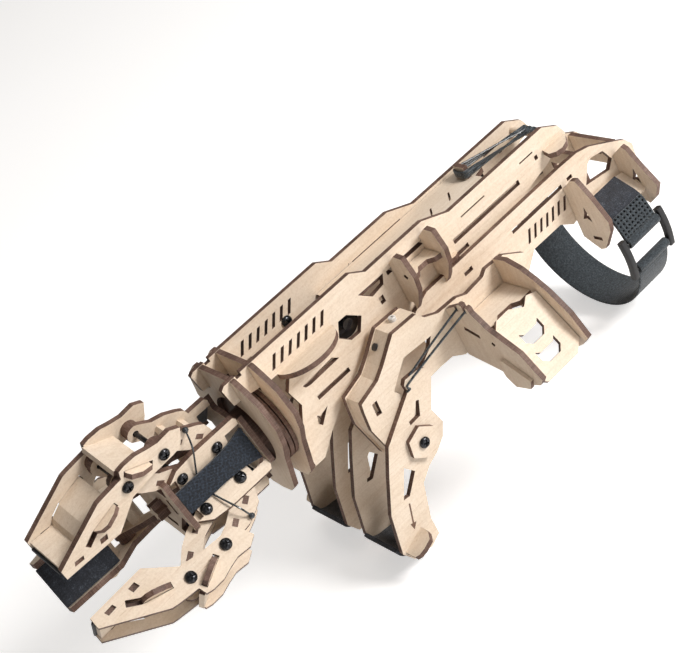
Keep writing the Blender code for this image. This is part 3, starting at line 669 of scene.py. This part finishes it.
def strap_point(y, z):
    return Vector((STRAP_X, at(0, y, 0).y, at(0, 0, z).z))


def round_arm(degrees):
    """Point of the strap's loop round the forearm."""
    a = math.radians(degrees)
    return strap_point(44.5 * math.cos(a), -96.0 + 46.0 * math.sin(a))


BUCKLE_MID = 176.0
SHELF = ((23.0, -64.3), (29.0, -67.5), (34.6, -70.5), (38.2, -73.2))
section = flat_section(STRAP_HALF, 0.75, 0.5)
for sign, tag in ((-1, "near"), (1, "far")):
    path = smooth_path([strap_point(sign * y, z) for y, z in SHELF], 6)
    sweep("strap_pad_" + tag, path, section, PILE, "frame", X_AXIS)


def webbing_sheet(name, path, half, holes, mat):
    """A woven band along a path. With holes it is an open mesh of square eyes."""
    pitch = 1.25
    columns = int(2 * half / pitch)
    if columns % 2 == 0:
        columns -= 1
    bm = bmesh.new()
    rows = []
    for p in path:
        places = [-half + 2 * half * c / columns for c in range(columns + 1)]
        rows.append([bm.verts.new(p + X_AXIS * place * MM) for place in places])
    for i in range(len(path) - 1):
        for c in range(columns):
            eye = holes and c % 2 == 1 and i % 2 == 1 and 0 < i < len(path) - 2
            if not eye:
                bm.faces.new((rows[i][c], rows[i][c + 1], rows[i + 1][c + 1], rows[i + 1][c]))
    ob = new_object(name, bm, mat, None, 60.0)
    thick = ob.modifiers.new("thick", "SOLIDIFY")
    thick.thickness = 0.0011
    thick.offset = 0
    soft = ob.modifiers.new("soft", "SUBSURF")
    soft.levels = 1
    soft.render_levels = 1
    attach(ob, "frame")
    return ob


def spaced(points, step):
    """The same curve with points a fixed distance apart."""
    out = [points[0]]
    left = step
    for a, b in zip(points[:-1], points[1:]):
        length = (b - a).length
        done = 0.0
        while length - done >= left:
            done += left
            out.append(a.lerp(b, done / length))
            left = step
        left -= length - done
    return out


BUCKLE_TOP = 170.5
BUCKLE_LOW = 192.0
near_end = [strap_point(-37.4, -72.8), strap_point(-39.8, -75.0)]
far_end = [strap_point(39.8, -75.0), strap_point(37.4, -72.8)]
upper = near_end + [round_arm(d) for d in (161, 164, 167, BUCKLE_TOP)]
path = spaced(smooth_path(upper, 10), 0.00125)
open_mesh = webbing_sheet("strap_mesh_near", path, STRAP_HALF, True, WEBBING)
inside = strap_point(0, -96.0)
lining = [p.lerp(inside, 0.028) for p in upper]
path = spaced(smooth_path(lining, 10), 0.0025)
webbing_sheet("strap_lining_near", path, STRAP_HALF, False, PILE)
lower = [round_arm(BUCKLE_LOW + (380 - BUCKLE_LOW) * i / 40) for i in range(41)] + far_end
path = spaced(smooth_path(lower, 4), 0.0025)
webbing_sheet("strap_band", path, STRAP_HALF, False, WEBBING)
section = flat_section(STRAP_HALF, 0.6, 0.4)
for index, degrees in enumerate((BUCKLE_TOP, BUCKLE_LOW)):
    bar = round_arm(degrees)
    turns = []
    for k in range(16):
        a = 2 * math.pi * k / 16
        turns.append(bar + Vector((0, math.cos(a), math.sin(a))) * 0.0023)
    name = "strap_fold_%d" % index
    sweep(name, turns, section, WEBBING, "frame", X_AXIS, closed=True)
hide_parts("strap")

# buckle: a rectangular ring curved round the arm
RAIL = 15.6
ring = []
for i in range(9):
    ring.append(round_arm(BUCKLE_TOP + (BUCKLE_LOW - BUCKLE_TOP) * i / 8) + X_AXIS * RAIL * MM)
for i in range(1, 8):
    ring.append(round_arm(BUCKLE_LOW) + X_AXIS * (RAIL - 2 * RAIL * i / 8) * MM)
for i in range(9):
    ring.append(round_arm(BUCKLE_LOW - (BUCKLE_LOW - BUCKLE_TOP) * i / 8) - X_AXIS * RAIL * MM)
for i in range(1, 8):
    ring.append(round_arm(BUCKLE_TOP) - X_AXIS * (RAIL - 2 * RAIL * i / 8) * MM)
bm = bmesh.new()
sweep_into(bm, ring, ring_section(1.5, 10), None, True)
CHEEK = (BUCKLE_TOP - 5, BUCKLE_TOP - 2, BUCKLE_TOP + 5, BUCKLE_MID + 5, BUCKLE_LOW - 5, BUCKLE_LOW + 2,
         BUCKLE_LOW + 5)
for sign in (-1, 1):
    path = [round_arm(d) + X_AXIS * sign * RAIL * MM for d in CHEEK]
    sweep_into(bm, smooth_path(path, 4), flat_section(2.0, 2.1, 1.0), X_AXIS)
buckle = new_object("strap_buckle", bm, PLASTIC, "frame", 50.0)
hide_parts("buckle")

# ------------------------------------------------------------------ elastic bands
BAND = ring_section(0.62, 8)
NOTCHES = ((-39.2, -48.4, -38.0), (-42.2, -54.9, -37.8))  # y at the lever, y and z at the guard's notch
for index, (y_low, y_top, z_top) in enumerate(NOTCHES):
    path = [at(59.0, y_low, -58.2), at(58.0, y_low - 0.3, -56.0), at(60.5, y_low - 0.8, -54.2),
            at(79.5, (y_low + y_top) / 2, -46.0), at(98.3, y_top, z_top), at(101.0, y_top, z_top + 0.25),
            at(103.6, y_top, z_top), at(103.6, y_top, z_top - 3.0)]
    ob = sweep("lever_band_%d" % index, smooth_path(path, 8), BAND, RUBBER, None)
    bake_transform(ob)
path = [at(59.0, -39.2, -58.2), at(57.6, -39.9, -59.0), at(57.4, -41.2, -59.0), at(59.0, -42.2, -58.2)]
sweep("lever_band_turn", smooth_path(path, 6), BAND, RUBBER, "open_lever")

LOOPS = 5
HOOK_Y = 1.0
ROD_X = 215
ROD_Z = -19.5


def loop_side(k, sign):
    """One strand of a loop: from behind the deck's hook, back over the rear rod and round under it."""
    z = -9.0 - 0.85 * k
    hook_y = HOOK_Y + sign * (4.75 + 0.5 * (k % 2))
    end_y = -0.6 + sign * (0.5 + 1.05 * (k if sign > 0 else LOOPS - 1 - k))
    lift = 2.8 + 0.55 * math.sin(k * 1.7 + sign)
    slant = lift * 0.71
    return [at(164.9, HOOK_Y + sign * 1.6, z), at(165.5, HOOK_Y + sign * 4.0, z), at(168.6, hook_y, z),
            at(178, hook_y * 0.8 + end_y * 0.2, z * 0.8 - 3.3),
            at(200, hook_y * 0.32 + end_y * 0.68, z * 0.32 - 11.2), at(212.8, end_y, -16.5),
            at(ROD_X + slant, end_y, ROD_Z + slant), at(ROD_X + lift, end_y, ROD_Z),
            at(ROD_X + slant, end_y, ROD_Z - slant)]


for k in range(LOOPS):
    path = smooth_path(loop_side(k, -1)[::-1] + loop_side(k, 1), 6)
    sweep("band_loop_%d" % k, path, BAND, RUBBER, "frame")
path = []
for k in range(20):
    a = 2 * math.pi * k / 20
    path.append(at(167.5 + 2.6 * math.cos(a), 2.6 + 1.92 * math.sin(a), -11.4 + 2.3 * math.sin(a)))
sweep("band_ring", path, ring_section(0.8, 8), RUBBER, "frame", closed=True)

# ------------------------------------------------------------------ cords from the panel to the rear links
CORD = ring_section(0.5, 8)


def knot(name, spot, body):
    """A tied lump: three crossing turns of cord."""
    bm = bmesh.new()
    for axis in ((1, 0.2, 0), (0.1, 1, 0.3), (0.3, 0, 1)):
        place = pointing(spot, Vector(axis))
        turns = [place @ Vector((x * MM, y * MM, 0)) for x, y in ring_section(1.0, 14)]
        sweep_into(bm, turns, ring_section(0.75, 8), None, True)
    new_object(name, bm, RUBBER, body, 50.0)


PANEL_ANGLE = math.radians(163)
PANEL_R = Vector((0, math.cos(PANEL_ANGLE), math.sin(PANEL_ANGLE)))
PANEL_V = X_AXIS.cross(PANEL_R)


def on_panel(x, rad, v):
    """A point on the near fabric panel: place along the arm, distance from the axis, place across."""
    return at(x, 0, AXIS_Z) + (PANEL_R * rad + PANEL_V * v) * MM


def link_axes(tag):
    """A link's own directions at rest: along it, across it and along its hinges."""
    r, t = finger_axes(tag)
    a = math.radians(LEAN[tag])
    along = r * math.cos(a) - X_AXIS * math.sin(a)
    return along, along.cross(t), t


def on_link(tag, s, w, t_side):
    """A point on a rear link, measured along it, across it and out to one side."""
    along, across, t = link_axes(tag)
    return pivot("rear_link_%s_swing" % tag) + (along * s + across * w + t * t_side) * MM


for tag, s, w, v, t_side in (("b", 20.5, 8.9, -1, 10.4), ("a", 17.0, 9.0, 1, -10.4)):
    tie = on_link(tag, s, w, t_side)
    edge = on_panel(-49.2, 20.5, v * 7.6)
    middle = tie.lerp(edge, 0.5) + PANEL_R * 0.0035
    path = [tie, tie.lerp(middle, 0.5) + PANEL_R * 0.0012, middle, edge, on_panel(-49.2, 18.4, v * 5.5),
            on_panel(-49.2, 18.2, v * 1.0)]
    cord = sweep("cord_" + tag, smooth_path(path, 6), CORD, RUBBER, None)
    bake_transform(cord)
    knot("cord_knot_" + tag, tie, "rear_link_" + tag)

# ------------------------------------------------------------------ ends of the tabs, flush in the plates
TAB_END = edge_material("tab", Vector((0.6, 0.5, 0.62)))


def tab_end(name, outline, place, body):
    """The scorched end of a tab, showing just above the plate it passes through."""
    slab(name, outline, place, -0.05, 0.06, TAB_END, body)


def box_outline(x0, x1, y0, y1):
    return [(x0, y0), (x1, y0), (x1, y1), (x0, y1)]


LINK_TABS = {"front": (box_outline(7.5, 12, -4.6, -1.8), box_outline(21, 26, -4.4, -1.6)),
             "rear": (box_outline(7.3, 11.7, 3.2, 6.0), box_outline(19.6, 23.7, 0.7, 3.6))}
TIP_TABS = ([(-24.6, -16.5), (-20.4, -16.9), (-19.6, -13.8), (-23.9, -13.5)],
            [(-40.1, -15.9), (-34.7, -16.2), (-34.1, -13.9), (-39.3, -13.4)])
TIP_FACE = 14.8
for tag in FINGERS:
    along, across, t = link_axes(tag)
    r = finger_axes(tag)[0]
    for which, outlines in LINK_TABS.items():
        body = "%s_link_%s" % (which, tag)
        base = pivot(body + "_swing")
        for k, outline in enumerate(outlines):
            for sign, side in ((-1, "left"), (1, "right")):
                place = plane_matrix(along, across, base + t * sign * LINK_OUT * MM)
                tab_end("tab_%s_%d_%s" % (body, k, side), outline, place, body)
    knuckle = pivot("fingertip_%s_swing" % tag)
    for k, outline in enumerate(TIP_TABS):
        for sign, side in ((-1, "left"), (1, "right")):
            place = plane_matrix(X_AXIS, r, knuckle + t * sign * TIP_FACE * MM)
            tab_end("tab_tip_%s_%d_%s" % (tag, k, side), outline, place, "fingertip_" + tag)


# dark strips closing the hairline between the deck and the side plates, in the scorched edge colour, painted
# as the shade in the joint
for sign, side in ((-1, "near"), (1, "far")):
    place = plane_matrix(X_AXIS, Y_AXIS, at(64.2, sign * 12.75, -16.4))
    # painted shade: a scorched-colour strip standing for the shaded hairline between deck and side plate
    slab("deck_joint_shade_" + side, box_outline(0, 105.5, -0.28, 0.28), place, 0, 1.2, TAB_END, "frame")

# deck tabs filling their slots in the far side plate
place = plane_matrix(Z_AXIS, X_AXIS, at(0, 13.1, 0))
slab("deck_tab_far", box_outline(-16.1, -13.8, 91.1, 127.4), place, 0, 2.8, TAB_END, "frame")
slab("deck_tab_far_front", box_outline(-16.6, -13.1, 71.3, 88.4), place, 0, 2.8, FACE_X, "frame")

# pin in the near housing's bent web, and a flat black oval painted as the shade inside its hole
GREY_PIN = plastic("grey_pin", (0.42, 0.40, 0.38), 0.5)
bm = bmesh.new()
lathe_into(bm, [(2.1, -0.4), (2.1, 1.5), (1.7, 1.9), (0.9, 1.9), (0.9, 1.2), (0, 1.2)],
           pointing(at(75.6, -28.0, -29.9), Vector((0.03, 0, 1))), 24)
new_object("web_pin", bm, GREY_PIN, "frame", 35.0)
place = plane_matrix(Y_AXIS, Vector((0.778, 0, 0.628)), at(60.0, -28.0, -35.1))
oval = [(x * 1.5, y * 2.0) for x, y in ring_section(1.0, 16)]
# painted shade: a black oval in place of the shaded inside of the hole
slab("web_hole_painted_shade", oval, place, -1.2, 0.3, PLASTIC, "frame")

# plain arrow engraved on each lever
ARROW = [(-7.5, -0.5), (4.0, -0.5), (4.0, -2.0), (8.0, 0), (4.0, 2.0), (4.0, 0.5), (-7.5, 0.5)]
POINTER = Vector((-0.30, 0, -0.954))
for name, sign in (("open", -1), ("close", 1)):
    place = plane_matrix(POINTER, POINTER.cross(Y_AXIS * sign), at(25.4, sign * 41.4, -118.6))
    slab("lever_arrow_" + name, ARROW, place, -0.03, 0.03, ENGRAVED, name + "_lever")

# ------------------------------------------------------------------ winding spool between the side plates
screw_head("side_screw_head", at(42.4, 12.95, -14.1), -Y_AXIS, 20, "frame")
bm = bmesh.new()
half_spool = [(0, 12.8), (3.2, 12.8), (3.2, 9.5), (8.6, 9.5), (8.6, 8.0), (4.0, 7.4)]
profile = [(radius, -height) for radius, height in half_spool] + half_spool[::-1]
lathe_into(bm, profile, pointing(at(60, 0, -24), Y_AXIS), 32)
new_object("side_spool", bm, GLOSS, "frame", 35.0)

# ------------------------------------------------------------------ camera, light and floor
RIGHT = Vector((0.69279, -0.58356, -0.42367))
DOWN = Vector((-0.63313, -0.21095, -0.74474))
camera = bpy.data.objects.new("camera", bpy.data.cameras.new("camera"))
bpy.context.scene.collection.objects.link(camera)
camera.matrix_world = plane_matrix(RIGHT, -DOWN, at(-214.7, -625.9, 381.7))
camera.data.sensor_width = 36.0
camera.data.lens = 82.6
camera.data.clip_start = 0.01
bpy.context.scene.camera = camera

floor_mesh = bpy.data.meshes.new("floor")
bm = bmesh.new()
bmesh.ops.create_grid(bm, x_segments=8, y_segments=8, size=3.0)
bm.to_mesh(floor_mesh)
bm.free()
floor = bpy.data.objects.new("floor", floor_mesh)
floor.location = (0, 0, CAD_BOX[0].z - 0.008)
bpy.context.scene.collection.objects.link(floor)
floor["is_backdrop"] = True
s = Shader("floor_paper")
tone = s.ramp(s.noise(s.coords, 3.0, 2.0, 0.5), ((0.3, (0.90, 0.895, 0.89)), (0.7, (0.92, 0.915, 0.91))))
seen = s.node("ShaderNodeLightPath").outputs["Is Camera Ray"]
glow = s.value("MULTIPLY_ADD", seen, 0.38)
s.tree.nodes[-1].inputs[2].default_value = 0.10
s.link(glow, s.bsdf.inputs["Emission Strength"])
floor_mesh.materials.append(s.finish(tone, 0.9, Emission_Color=(1, 1, 1, 1)))


def area_light(name, offset, size, power, color):
    """Round soft light at an offset from the middle of the arm, aimed at it."""
    middle = (CAD_BOX[0] + CAD_BOX[1]) / 2
    lamp = bpy.data.lights.new(name, "AREA")
    lamp.shape = "DISK"
    lamp.size = size
    lamp.energy = power
    lamp.color = color
    ob = bpy.data.objects.new(name, lamp)
    bpy.context.scene.collection.objects.link(ob)
    ob.matrix_world = pointing(middle + Vector(offset), Vector(offset))


area_light("key", (0.85, -1.1, 1.0), 0.6, 30, (1.0, 0.985, 0.97))
area_light("fill", (0.1, -1.4, 0.4), 1.2, 3, (1.0, 1.0, 1.0))
area_light("top", (0.45, 0.2, 1.5), 1.0, 4, (1.0, 1.0, 1.0))
world = bpy.data.worlds.new("studio")
bpy.context.scene.world = world
world.use_nodes = True
world.node_tree.nodes["Background"].inputs["Color"].default_value = (1, 0.93, 0.86, 1)
world.node_tree.nodes["Background"].inputs["Strength"].default_value = 0.20
bpy.context.scene.view_settings.view_transform = "Standard"

bpy.context.view_layer.update()
low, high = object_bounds()
